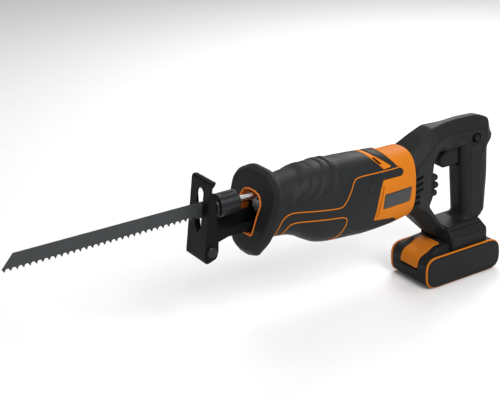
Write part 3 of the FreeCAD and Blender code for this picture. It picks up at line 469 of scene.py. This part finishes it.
# the case screws enter from the right: x, z and the y of the face round each
BODY_SCREWS = [(232, -66, 29.5), (246.2, -3, 29)]
HANDLE_SCREWS = [(306, 12, 18), (350, 14, 18), (360, -70, 18), (288, -88, 18), (340, -114, 31)]
SCREW_PIT_RADIUS = 3.4
SCREW_PIT_DEPTH = 3.9

GUARD_X, GUARD_Z = 37.8, -16.5
GUARD_LEAN = math.radians(16)
GUARD_THICK = 13.0
GUARD_BACK = 16.0


def mirrored(half):
    """A front outline with its mirror image."""
    return half + [(-y, z, radius) for y, z, radius in reversed(half)]


# front outlines, y and z: the guard's from the middle of the guard, the mouth's from the clamp
GUARD = rounded(mirrored([(19, 52.5, 30), (50.5, 37, 26), (50.8, 6, 60), (42, -24, 50),
                          (24, -47.5, 16), (8, -51.5, 20)]))
MOUTH = rounded(mirrored([(16.5, -41.8, 5), (19.5, -17, 10), (22.8, -4, 6), (16.5, 5, 8),
                          (7, 7.4, 5)]))

# side outlines, x and z
ORANGE_BAND = rounded([(190, 60, 0), (203.9, 18, 0), (224, 2.2, 0.8), (222, 0.6, 0.8),
                       (211.5, 0.2, 0.8), (196.4, 18.4, 0), (182, 60, 0)])
BAND_SLOT = [(202.6, 13.8), (205.6, 13.8), (211.2, 6.2), (208.0, 5.9)]
ORANGE_COLLAR = rounded([(186, 60, 0), (300, 60, 0), (300, -120, 0), (236, -120, 0),
                         (234, -72, 2), (227, -66, 4), (192.6, -60, 2), (198, -34, 0),
                         (202, -22, 2), (207, -11, 3), (236, -12, 3), (240.5, -8, 3),
                         (238, -4.4, 2), (231.9, 0.1, 1)])
COLLAR_FOLD = [(206.5, -20), (203.6, -30), (200.3, -42), (196.8, -57)]
BADGE = rounded([(208.5, -29.5, 1.5), (251, -29.5, 1.5), (248, -48, 1.5), (205.5, -48, 1.5)])

PIPE_UPPER = [(58, -46), (61, -33), (67, -24), (76, -20.5), (88, -21.8), (113, -25.4),
              (141, -29), (147, -27), (157, -14), (163.5, -2.5), (170, 1.2), (197, -0.2),
              (221, -1.5), (236, -1.6)]
PIPE_LOWER = [(67, -50), (70, -44), (74, -36.5), (80, -34), (101, -35.8), (127, -39.4),
              (146, -41.4), (151, -45), (150.5, -52), (147, -61.5), (141, -70), (134, -73)]
PIPE_RADIUS = 0.7


def guard_axes(x, z):
    """Depth behind the guard's leaning front plane, and height up it."""
    depth = (x - GUARD_X) * math.cos(GUARD_LEAN) - (z - GUARD_Z) * math.sin(GUARD_LEAN)
    height = (x - GUARD_X) * math.sin(GUARD_LEAN) + (z - GUARD_Z) * math.cos(GUARD_LEAN)
    return depth, height


# Side view of the two finger scales: height, then x of the soft front step, of the first sharp
# edge, of the soft middle step, of the second sharp edge and of the end.
SCALE_ROWS = [(-17, 66, 74, 96, 106, 137), (-11.4, 72, 82, 102, 116.7, 142)]
SCALE_ROWS += [(-6.2, 76, 88, 108, 124, 146), (-5.0, 77, 89.5, 110, 131, 146.8)]
SCALE_ROWS += [(-1.5, 80.5, 92, 113.6, 134, 148)]
SCALE_ROWS += [(-0.6, 81.3, 100, 114.4, 134.5, 148.2), (3.8, 85.5, 105, 118.6, 136, 150)]
SCALE_ROWS += [(11.4, 91.5, 108.9, 122, 138, 152.4), (18, 96.3, 111.2, 126, 139, 152.5)]
SCALE_ROWS += [(22.5, 101.5, 114.8, 129.5, 139.8, 152)]
SCALE_HEIGHT = 2.0
SCOOP_DEPTH = 1.9


def finger_scales(x, z):
    """Height of the two overlapping finger scales moulded into the grip."""
    table = np.array(SCALE_ROWS, float)
    edges = [np.interp(z, table[:, 0], column) for column in table[:, 1:].T]
    front, first, middle, second, end = edges
    front_scale = ramp(x, front, front + 7) * (0.75 + 0.25 * ramp(x, front, first))
    front_scale = front_scale * (1 - ramp(x, first - 1.3, first + 0.2))
    ledge = 0.45 * ramp(x, first + 1.0, first + 8) * (1 - ramp(x, middle - 1, middle + 3))
    rear_scale = ramp(x, middle, middle + 6) * (1 - ramp(x, second - 1.3, second + 0.2))
    tail = 0.85 * ramp(x, second + 1.0, second + 5) * (1 - ramp(x, end - 5, end))
    fade = ramp(z, -17, -9)
    return SCALE_HEIGHT * (front_scale + ledge + rear_scale + tail) * fade


def thumb_scoop(x, z):
    """A shallow slanting dish ahead of the collar that faces up."""
    across = x - 186.5 - 0.75 * (z + 16)
    slant = ramp(across, -6.5, -4) * (1 - ramp(across, 2.5, 5))
    return SCOOP_DEPTH * ramp(z, -26, -12) * (1 - ramp(z, -8.5, -6)) * slant


def screw_pits(x, y, z, screws):
    """The sunk holes of the case screws."""
    pits = np.full(np.broadcast(x, y, z).shape, 1e3)
    for x_screw, z_screw, y_face in screws:
        hole = np.hypot(x - x_screw, z - z_screw) - SCREW_PIT_RADIUS
        pit = both(hole, y_face - SCREW_PIT_DEPTH - y, 0.2)
        pits = np.minimum(pits, pit)
    return pits


def body_field(x, y, z):
    """The body's plain skin, under every moulded detail."""
    half_width, top, bottom = smooth_rows(x, BODY_ROWS)
    return oval(y, z, half_width, top, bottom)


def guard_field(x, y, z):
    """The front guard, flared out of the body, with its mouth cut through."""
    depth, height = guard_axes(x, z)
    rim = outline(y, height, GUARD) + 0.25
    half_thick = GUARD_THICK / 2
    drawn_in = rim + 1.2 * np.maximum(depth - 10, 0)
    plate = both(drawn_in, np.abs(depth - half_thick) - half_thick, 1.5)
    front_bevel = (rim - depth + 6.0) / 1.41
    plate = both(plate, front_bevel, 1.0)
    crease = both(np.abs(rim - 0.2) - 0.8, np.abs(depth - 7.4) - 0.6, 0.5)
    plate = without(plate, crease, 0.8)
    neck = either(plate, body_field(x, y, z), 7.0)
    neck = both(neck, depth - GUARD_BACK, 1.0)
    neck = both(neck, -depth, 1.0)
    return without(neck, outline(y, z, MOUTH), 1.5)


def grip_field(x, y, z):
    """The soft grip shell between the guard and the collar, less the orange zones."""
    skin = body_field(x, y, z)
    detail = (finger_scales(x, z) - thumb_scoop(x, z)) * 0.9
    form = skin - detail
    depth, _ = guard_axes(x, z)
    form = both(form, GUARD_BACK + 0.4 - depth, 0.8)
    zone = np.minimum(outline(x, z, ORANGE_BAND), outline(x, z, ORANGE_COLLAR))
    form = both(form, 0.25 - zone, 0.9)
    form = without(form, screw_pits(x, y, z, BODY_SCREWS), 0.5)
    return without(form, skin + WALL, 0.8)


def collar_field(x, y, z):
    """The orange collar shell: roof lowered at the rear, badge recesses, a fold at the front."""
    skin = body_field(x, y, z)
    roof = oval(y, z, 50.0, ROOF_Z, -170.0)
    outer = np.where(x > STEP_X - 0.65 * z, both(skin, roof, 2.0), skin)
    outer = both(outer, x - COLLAR_END_X - 0.06 * np.maximum(z + 32, 0), 3.0)
    zone = outline(x, z, ORANGE_COLLAR)
    form = both(outer, zone + 0.1, 1.2)
    form = without(form, both(outline(x, z, BADGE) - 0.35, -skin - 1.2, 0.3), 0.6)
    fold = near_path(x, z, COLLAR_FOLD, 1.2)
    form = without(form, both(fold, -skin - 2.4, 0.4), 0.8)
    form = without(form, screw_pits(x, y, z, BODY_SCREWS), 0.5)
    return without(form, outer + 1.5 * WALL, 0.8)


def band_field(x, y, z):
    """The orange band across the top of the grip, with a slot in each side."""
    skin = body_field(x, y, z)
    form = both(skin + 0.1, outline(x, z, ORANGE_BAND) + 0.1, 1.0)
    slot = both(outline(x, z, BAND_SLOT), -skin - 4.0, 0.3)
    return without(without(form, slot, 0.5), skin + WALL, 0.6)


def on_body(path, lift):
    """A path in x and z laid on the left side of the body, standing proud by lift."""
    x, z = path.T
    half_width, top, bottom = smooth_rows(x, BODY_ROWS)
    level = np.clip(np.abs(z - (top + bottom) / 2) / ((top - bottom) / 2), 0, 0.999)
    y = -half_width * (1 - level ** SQUARENESS) ** (1 / SQUARENESS) - lift
    return np.stack([x, y, z], axis=1)


guard = shape("guard_flange", (20, -50.6, -68), (76, 50.6, 36), guard_field)
dress(guard, "black_rubber", "housing", "front_guard")
grip = shape("front_grip", (40, -40, -87), (244, 40, 26), grip_field)
dress(grip, "black_rubber", "housing", "front_grip_left", "front_grip_right")
collar = shape("collar_shell", (190, -38, -86), (262, 38, 20), collar_field)
dress(collar, "orange_plastic", "housing", "motor_housing_left", "motor_housing_right")
band = shape("collar_band", (190, -38, -2), (226, 38, 22), band_field, GRID * 0.7)
dress(band, "orange_plastic", "housing")

pipes = []
for control in (PIPE_UPPER, PIPE_LOWER):
    left_path = even(on_body(even(softened(control), 1.0), 0.15), 1.2)
    pipes.append(tube(left_path, PIPE_RADIUS))
    pipes.append(tube(left_path * (1, -1, 1), PIPE_RADIUS))
dress(add_tubes("grip_piping", pipes), "orange_plastic", "housing")


def ring_field(x, y, z):
    """The lip round the mouth, and the deeper lining of its upper part."""
    depth, _ = guard_axes(x, z)
    edge = outline(y, z, MOUTH)
    lip = both(np.abs(edge + 0.3) - 0.9, np.abs(depth - 1.8) - 2.6, 0.8)
    lining = both(np.abs(edge + 0.75) - 0.6, np.abs(depth - 6.0) - 6.0, 0.4)
    return either(lip, both(lining, -22 - z, 0.5), 0.4)


ring = shape("mouth_ring", (20, -26, -46), (60, 26, 12), ring_field, 0.6)
dress(ring, "trim_orange", "housing", "guard_trim_ring")


def nose_field(x, y, z):
    """The front face of the gear case, seen through the mouth."""
    form = block(x, y, z, (50.5, -12.0, -23.0), (64.0, 12.0, -1.0), 1.0)
    form = without(form, np.hypot(y, z) - 6.6, 0.6)
    groove = block(x, y, z, (45.0, -20.0, -13.6), (52.0, 20.0, -12.0), 0.3)
    return without(form, groove, 0.4)


nose = shape("gear_case_nose", (50, -12.5, -24), (64, 12.5, 0), nose_field, 0.6)
dress(nose, "cast_alloy", "housing")


def badge_field(x, y, z):
    """The badge plates of both sides."""
    skin = body_field(x, y, z)
    form = both(skin + 0.35, outline(x, z, BADGE) + 0.1, 0.7)
    return both(form, -skin - 2.2, 0.5)


for side, name in ((-1, "left"), (1, "right")):
    def one_side(x, y, z, side=side):
        return both(badge_field(x, y, z), 20 - side * y, 0.3)
    low, high = sorted((side * 24, side * 37))
    plate = shape("badge_" + name, (204, low, -50), (253, high, -28), one_side, 0.7)
    dress(plate, "badge_black", "housing", "badge_plate_" + name)

# ---- handle ----------------------------------------------------------------------------
# side outlines, x and z
HANDLE = rounded([(246, -2, 0), (262, 6, 6), (284, 19.3, 10), (301, 28, 12), (350, 30.2, 20),
                  (378, 29, 14), (399, 21, 9), (403.4, -1, 3), (392.5, -14, 8), (393, -50, 60),
                  (390, -98, 12), (388.5, -110, 4), (380.5, -118, 2), (379, -126, 1),
                  (318, -126, 3), (298, -112, 10), (270, -82, 8), (255, -72, 0), (246, -72, 0)])
WINDOW = rounded([(300.5, -16, 5), (311, -4.5, 5), (346, -4.5, 4), (348.5, -60, 30),
                  (351, -100, 6), (346, -107.5, 4), (316, -108, 6), (287, -69, 3), (298, -60, 3),
                  (298.5, -28, 4)])
PAD = rounded([(390, 1, 3), (376, -22, 6), (373, -34, 8), (373, -56, 8), (379, -84, 12),
               (380, -102, 3), (430, -104, 0), (430, 1, 0)])
HANDLE_SEAM = [(374, -2.5), (359, -6), (356, -28), (349, -33)]
HALF_GRIP = 18.0
GRIP_RADIUS = 13.0
# x and half width
HANDLE_WIDTHS = [(250, 33), (262, 32), (275, 29.3), (290, 26.2), (306, 22.6), (330, HALF_GRIP),
                 (400, HALF_GRIP)]
# ribs that stand into the window from the neck: x and z
NECK_RIBS = [(303.0, -36.0), (304.0, -46.5), (302.0, -56.5)]
# low and high corner of the foot's underside, where the pack slides in, and of the trigger's bay
FOOT_BAY = ((280, -28.2, -150), (376.8, 28.2, -127))
TRIGGER_BAY = ((325, -8.6, -32), (361, 8.6, 0))
LOCK_X, LOCK_Z = 368, 3
AIR_SLOTS = 5
AIR_SLOT_PITCH = 8.0


def handle_field(x, y, z):
    """The handle's skin: neck, top bar, strut and the rounded rear grip."""
    wide = np.abs(y)
    outer = outline(x, z, HANDLE)
    window = outline(x, z, WINDOW)
    width = smooth_rows(x, HANDLE_WIDTHS)[0]
    rear = ramp(x, 338, 352) * ramp(z, -112, -98) * (1 - ramp(z, -8, 10))
    low = ramp(-z, 55, 75) * (1 - ramp(x, 318, 336))
    # slanted faces: round the outside, a little deeper under the strut, and into the window
    top_cut = 13.0 + 1.0 * low
    top_lean = 1.0 + 0.1 * low
    window_cut = 10.0 * (1 - ramp(x, 306, 322)) * (1 - low) + 3.0
    window_lean = 0.55 + 0.45 * ramp(x, 306, 322)
    bar = without(outer, window, 2.0)
    form = both(bar, wide - width, 2.0)
    outer_face = top_lean * outer + wide - width + top_cut * top_lean
    window_face = -window_lean * window + wide - width + window_cut * window_lean
    form = both(form, outer_face / np.hypot(1, top_lean), 1.6)
    form = both(form, window_face / np.hypot(1, window_lean), 1.2)
    inward = np.maximum(bar + GRIP_RADIUS, 0)
    sideways = np.maximum(wide - HALF_GRIP + GRIP_RADIUS, 0)
    round_bar = np.hypot(inward, sideways) - GRIP_RADIUS
    form = form * (1 - rear) + np.maximum(round_bar, np.maximum(bar, wide - HALF_GRIP)) * rear
    behind = x - COLLAR_END_X
    sleeve = oval(y, z, 32.6 + 0.9 * behind, 10.0 + 1.4 * behind, -79.0 - 1.3 * behind)
    return both(form, sleeve, 3.0)


def handle_details(x, y, z):
    """The handle with its ribs, foot, bays, air slots, seam and screw holes."""
    wide = np.abs(y)
    form = handle_field(x, y, z)
    for x_rib, z_rib in NECK_RIBS:
        rib = np.hypot(x - x_rib, (z - z_rib) * 1.1) - 5.0
        form = either(form, both(rib, wide - 17.5, 5.0), 2.0)
    foot = block(x, y, z, (318, -31, -138), (379, 31, -106), 3.0)
    foot = both(foot, (wide + 0.85 * z + 0.85 * 101 - 17.5) / 1.31, 1.5)
    foot = both(foot, (-0.5 * x + z + 100 + 0.5 * 330) / 1.12, 1.5)
    foot = both(foot, (x + 0.45 * z - 375.0 + 0.45 * 112) / 1.1, 1.5)
    foot_bay = block(x, y, z, *FOOT_BAY, 1.0)
    foot = without(foot, foot_bay, 0.8)
    form = either(form, foot, 2.0)
    form = without(form, foot_bay, 0.8)
    form = without(form, block(x, y, z, *TRIGGER_BAY, 1.0), 0.8)
    # the dish round the lock-off knob and the hole it slides in
    dish = np.hypot((x - LOCK_X) * 0.8, z - LOCK_Z) - 5.6
    form = without(form, both(dish, 15.4 - wide, 0.5), 0.8)
    form = without(form, np.hypot(x - LOCK_X, z - LOCK_Z) - 4.5, 0.4)
    for index in range(AIR_SLOTS):
        z_slot = -24.0 - AIR_SLOT_PITCH * index
        x_end = 272.0 if index < 3 else 266.0
        slot = outline(x, z, [(252, z_slot - 3.2), (x_end, z_slot - 0.2),
                              (x_end - 1, z_slot + 3.2), (252, z_slot)])
        form = without(form, both(slot, 24 - wide, 0.5), 0.7)
    seam = near_path(x, z, HANDLE_SEAM, 0.45)
    form = without(form, both(seam, -form - 0.9, 0.4), 0.6)
    return without(form, screw_pits(x, y, z, HANDLE_SCREWS), 0.5)


handle = shape("handle_shell", (252, -34, -139), (402.8, 34, 32), handle_details)
dress(handle, "black_plastic", "housing", "handle_left", "handle_right")


def pad_field(x, y, z):
    """The soft pad, proud of the handle's skin."""
    skin = handle_field(x, y, z)
    form = both(skin - 0.45, outline(x, z, PAD), 1.4)
    return both(both(form, z + 2.0, 1.5), -skin - 1.5, 0.5)


pad = shape("handle_pad", (370, -20, -106), (400, 20, 0), pad_field, 0.8)
dress(pad, "black_rubber", "housing", "handle_overmould")

TRIGGER = rounded([(327, -1, 0), (327, -8, 5), (317, -20, 5), (318.5, -27, 3), (324, -31, 3),
                   (352, -31, 2), (352, -1, 0)])
TRIGGER_HALF_WIDTH = 8.0
# the bore for the return spring, deep enough to clear the whole spring at full pull
TRIGGER_BORE_X, TRIGGER_BORE_Z = 337.0, -17.0
TRIGGER_BORE_RADIUS = 3.6


def trigger_field(x, y, z):
    """The trigger key, open behind for its spring."""
    wide = np.abs(y)
    side = outline(x, z, TRIGGER)
    form = both(side, wide - TRIGGER_HALF_WIDTH, 3.5)
    form = both(form, (0.5 * side + wide - TRIGGER_HALF_WIDTH + 1.2) / 1.12, 2.0)
    bore = np.hypot(y, z - TRIGGER_BORE_Z) - TRIGGER_BORE_RADIUS
    return without(form, both(bore, TRIGGER_BORE_X - x, 0.2), 0.3)


trigger = shape("trigger_key", (314, -9, -33), (351, 9, 1), trigger_field, 0.7)
dress(trigger, "black_plastic", "trigger", "trigger")


def knob_field(x, y, z):
    """The lock-off knob, with a shallow cross cut in each end."""
    shaft = both(np.hypot(x - LOCK_X, z - LOCK_Z) - 3.9, np.abs(y) - 20.6, 1.6)
    cross = np.minimum(np.abs(x - LOCK_X), np.abs(z - LOCK_Z)) - 0.5
    return without(shaft, both(cross, 20.0 - np.abs(y), 0.3), 0.4)


knob = shape("lock_off_knob", (363, -22, -2), (373, 22, 8), knob_field, 0.5)
dress(knob, "black_plastic", "lock_button", "lock_button")

# ---- battery ---------------------------------------------------------------------------
# side outlines, x and z
PACK = rounded([(273, -134.6, 17), (396, -134.6, 19), (396, -177, 19), (273, -177, 17)])
DECK = rounded([(275, -162, 0), (277.5, -148, 8), (286, -136, 14), (299, -128.5, 14),
                (312, -127.5, 0), (375.8, -127.5, 2), (375.8, -160, 0), (330, -165, 0)])
BUTTON = rounded([(270, -153, 0), (282, -153, 3), (287, -142, 4), (296, -134.4, 8),
                  (311, -131.2, 0), (311, -120, 0), (270, -120, 0)])
# the bay under the button, deep enough for its 2 mm press inwards and down
BUTTON_BAY = rounded([(268, -155.4, 0), (283.6, -155.4, 3), (289.3, -143.6, 4),
                      (297.6, -137.2, 8), (312.7, -133.9, 0), (312.7, -118, 0), (268, -118, 0)])
LATCH_SPRING_X = 303
RIB_PITCH = 5.0
RAIL_SLOTS_Y = (-12.0, 0.0, 12.0)


def pack_field(x, y, z):
    """The pack's skin, ribbed at the front, with the deck that slides into the foot."""
    wide = np.abs(y)
    profile = outline(x, z, PACK)
    ribs = 0.55 * np.cos(y * 2 * math.pi / RIB_PITCH)
    ribs = ribs * ramp(-z, 150, 154) * (1 - ramp(-z, 170, 174))
    ribs = ribs * (1 - ramp(x, 279, 284)) * (1 - ramp(wide, 29, 31))
    main = both(profile - ribs + 0.5, wide - 33.8, 1.5)
    deck = both(outline(x, z, DECK), wide - 27.0, 3.0)
    return either(main, deck, 2.5)


def pack_case_field(x, y, z):
    """The case: the skin less the room for the foot, the rail slots and the button's bay."""
    wide = np.abs(y)
    form = pack_field(x, y, z)
    skirt = block(x, wide, z, (316, 27.2, -138.6), (402, 34, -120), 0.6)
    form = without(form, skirt, 0.6)
    form = without(form, block(x, y, z, (376.2, -36, -138.6), (402, 36, -120), 0.6), 0.6)
    for y_slot in RAIL_SLOTS_Y:
        slot = block(x, y, z, (342, y_slot - 1.6, -135), (382, y_slot + 1.6, -120), 0.3)
        form = without(form, slot, 0.4)
    bay = both(outline(x, z, BUTTON_BAY), wide - 17.0, 3.0)
    form = without(form, bay, 0.6)
    spring_hole = both(np.hypot(x - LATCH_SPRING_X, y) - 3.0, -138.8 - z, 0.2)
    form = without(form, spring_hole, 0.2)
    split = both(np.abs(z + 152.6) - 0.35, -form - 0.7, 0.3)
    return without(form, split, 0.4)


case = shape("pack_case", (272, -34, -178), (397, 34, -127), pack_case_field)
dress(case, "black_plastic", "battery", "pack_case_lower", "pack_case_upper")


def button_field(x, y, z):
    """The release button, bent over the pack's front."""
    wide = np.abs(y)
    form = both(outline(x, z, BUTTON), wide - 16.5, 3.0)
    form = both(pack_field(x, y, z) - 0.5, form, 1.0)
    spring_hole = both(np.hypot(x - LATCH_SPRING_X, y) - 4.0, z + 131.4, 0.2)
    return without(form, spring_hole, 0.2)


button = shape("pack_button", (271, -18, -155), (313, 18, -126), button_field, 0.8)
dress(button, "orange_plastic", "pack_latch", "pack_latch")


def cap_field(x, y, z):
    """The side caps of the pack, each with a shallow groove inside its edge."""
    wide = np.abs(y)
    profile = outline(x, z, PACK)
    form = both(profile + 1.3, np.abs(wide - 37.0) - 2.0, 3.0)
    return without(form, both(np.abs(profile + 7.0) - 0.5, 38.5 - wide, 0.3), 0.4)


def trim_field(x, y, z):
    """The orange bands under the side caps."""
    wide = np.abs(y)
    profile = outline(x, z, PACK)
    return both(profile + 0.1, np.abs(wide - 35.2) - 1.6, 1.2)


for side, name in ((-1, "left"), (1, "right")):
    low, high = sorted((side * 33, side * 39))

    def one_cap(x, y, z, side=side):
        return both(cap_field(x, y, z), -side * y, 0.3)

    def one_trim(x, y, z, side=side):
        return both(trim_field(x, y, z), -side * y, 0.3)

    piece = shape("pack_cap_" + name, (273, low, -177), (396, high, -134), one_cap, 0.8)
    dress(piece, "black_plastic", "battery", "pack_side_caps")
    piece = shape("pack_trim_" + name, (273, low, -177), (396, high, -134), one_trim, 0.8)
    dress(piece, "orange_plastic", "battery", "pack_trim_bands")

# ---- light, floor and camera -----------------------------------------------------------
FLOOR_Z = -177.2
FLOOR_REACH = 6000.0
FLOOR_CORNERS = ((-1, -1), (1, -1), (1, 1), (-1, 1))

floor_mesh = bpy.data.meshes.new("studio_floor")
floor_points = [(x * FLOOR_REACH * MM, y * FLOOR_REACH * MM, FLOOR_Z * MM)
                for x, y in FLOOR_CORNERS]
floor_mesh.from_pydata(floor_points, [], [(0, 1, 2, 3)])
floor = bpy.data.objects.new("studio_floor", floor_mesh)
floor_mesh.materials.append(surface_material("studio_floor", (0.86, 0.86, 0.86), 0.7, tone=0.01,
                                             grain=0.01, grain_size=3.0, bump=0.02, specular=0.2))
bpy.context.scene.collection.objects.link(floor)

world = bpy.data.worlds.new("studio")
world.use_nodes = True
background = world.node_tree.nodes["Background"]
background.inputs["Color"].default_value = (1.0, 1.0, 1.0, 1.0)
background.inputs["Strength"].default_value = 0.42
bpy.context.scene.world = world
bpy.context.scene.view_settings.view_transform = "Standard"


def area_light(name, place, target, size_m, power):
    light = bpy.data.lights.new(name, "AREA")
    light.shape = "DISK"
    light.size = size_m
    light.energy = power
    lamp = bpy.data.objects.new(name, light)
    lamp.location = place
    lamp.rotation_euler = (Vector(target) - Vector(place)).to_track_quat("-Z", "Y").to_euler()
    bpy.context.scene.collection.objects.link(lamp)


# metres and watts
area_light("key", (0.25, -1.5, 1.35), (0.1, 0, 0), 1.1, 32)
area_light("top", (0.3, 0.3, 1.9), (0.1, 0, 0), 1.4, 13)
area_light("rim", (1.2, 0.9, 0.9), (0.1, 0, 0), 0.8, 12)

# the camera stands ahead and to the left, above the tool; metres
CAMERA_AT = (-0.5833, -1.0490, 0.4870)
AZIMUTH = math.radians(-30.76)
ELEVATION = math.radians(21.93)
ROLL = math.radians(-3.0)
SENSOR_WIDTH_MM = 36.0
LENS_MM = 82.83
back = Vector((math.sin(AZIMUTH) * math.cos(ELEVATION),
               -math.cos(AZIMUTH) * math.cos(ELEVATION), math.sin(ELEVATION)))
right = Vector((math.cos(AZIMUTH), math.sin(AZIMUTH), 0.0))
up = Vector((-math.sin(AZIMUTH) * math.sin(ELEVATION),
             math.cos(AZIMUTH) * math.sin(ELEVATION), math.cos(ELEVATION)))
tilted_right = right * math.cos(ROLL) + up * math.sin(ROLL)
tilted_up = up * math.cos(ROLL) - right * math.sin(ROLL)
camera_data = bpy.data.cameras.new("camera")
camera_data.sensor_width = SENSOR_WIDTH_MM
camera_data.lens = LENS_MM
camera = bpy.data.objects.new("camera", camera_data)
turn = Matrix((tilted_right, tilted_up, back)).transposed().to_4x4()
camera.matrix_world = Matrix.Translation(CAMERA_AT) @ turn
bpy.context.scene.collection.objects.link(camera)
bpy.context.scene.camera = camera
